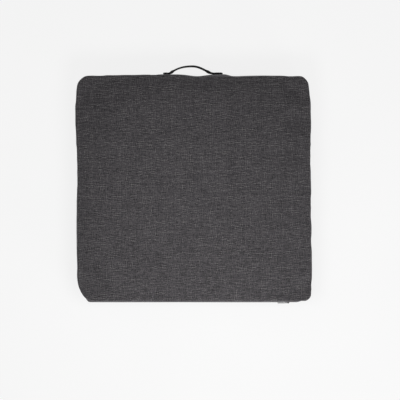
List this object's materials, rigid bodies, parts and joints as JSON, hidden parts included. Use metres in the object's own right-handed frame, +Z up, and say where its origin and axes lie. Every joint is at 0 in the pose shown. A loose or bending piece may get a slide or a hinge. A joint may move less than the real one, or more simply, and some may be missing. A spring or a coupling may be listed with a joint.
{
  "type": "floor cushion",
  "caption": "Square box floor cushion with a removable zipped fabric cover, foam and wadding filling, and a webbing carry handle on one side wall.",
  "frame": {"origin": "centre of the flat underside, with the handle left out of the reckoning", "axes": "+Z up out of the top panel, +Y towards the side wall with the handle, -Y towards the zip, +X to the right seen from the zip side"},
  "size_m": [0.6, 0.6102, 0.125],
  "materials": {
    "cover_fabric": "matte",
    "zip_tape": "matte",
    "zip_coil": "satin",
    "zip_metal": "satin",
    "handle_webbing": "matte",
    "thread": "satin",
    "backing": "matte",
    "liner": "matte",
    "wadding": "matte",
    "foam": "matte"
  },
  "bodies": {
    "cushion": {"top_panel": "cover_fabric", "bottom_panel": "cover_fabric", "side_wall_handle": "cover_fabric", "side_wall_left": "cover_fabric", "side_wall_right": "cover_fabric", "side_wall_zip_upper": "cover_fabric", "side_wall_zip_lower": "cover_fabric", "zip_tape_upper": "zip_tape", "zip_tape_lower": "zip_tape", "zip_coil_upper": "zip_coil", "zip_coil_lower": "zip_coil", "zip_top_stops": "zip_metal", "zip_bottom_stop": "zip_metal", "handle_end_left": "handle_webbing", "handle_end_right": "handle_webbing", "handle_bend_left": "handle_webbing", "handle_bend_right": "handle_webbing", "handle_stitching_left": "thread", "handle_stitching_right": "thread", "handle_backing_left": "backing", "handle_backing_right": "backing", "inner_liner": "liner", "wadding_wrap": "wadding", "wadding_end_left": "wadding", "wadding_end_right": "wadding", "foam_core": "foam"},
    "handle": {"handle_grip": "handle_webbing"},
    "slider": {"zip_slider": "zip_metal"},
    "pull": {"zip_pull": "zip_metal"}
  },
  "joints": [
    {"name": "handle_swing", "type": "hinge", "parent": "cushion", "child": "handle", "pos_m": [0, 0.2925, 0.0625], "axis": [1, 0, 0], "range_deg": [-40, 40], "deforming": ["handle_bend_left", "handle_bend_right"]},
    {"name": "zip_slide", "type": "slide", "parent": "cushion", "child": "slider", "axis": [1, 0, 0], "range_m": [-0.484, 0]},
    {"name": "pull_turn", "type": "hinge", "parent": "slider", "child": "pull", "pos_m": [0.244, -0.29455, 0.0625], "axis": [0, 0, 1], "range_deg": [0, 170]}
  ]
}
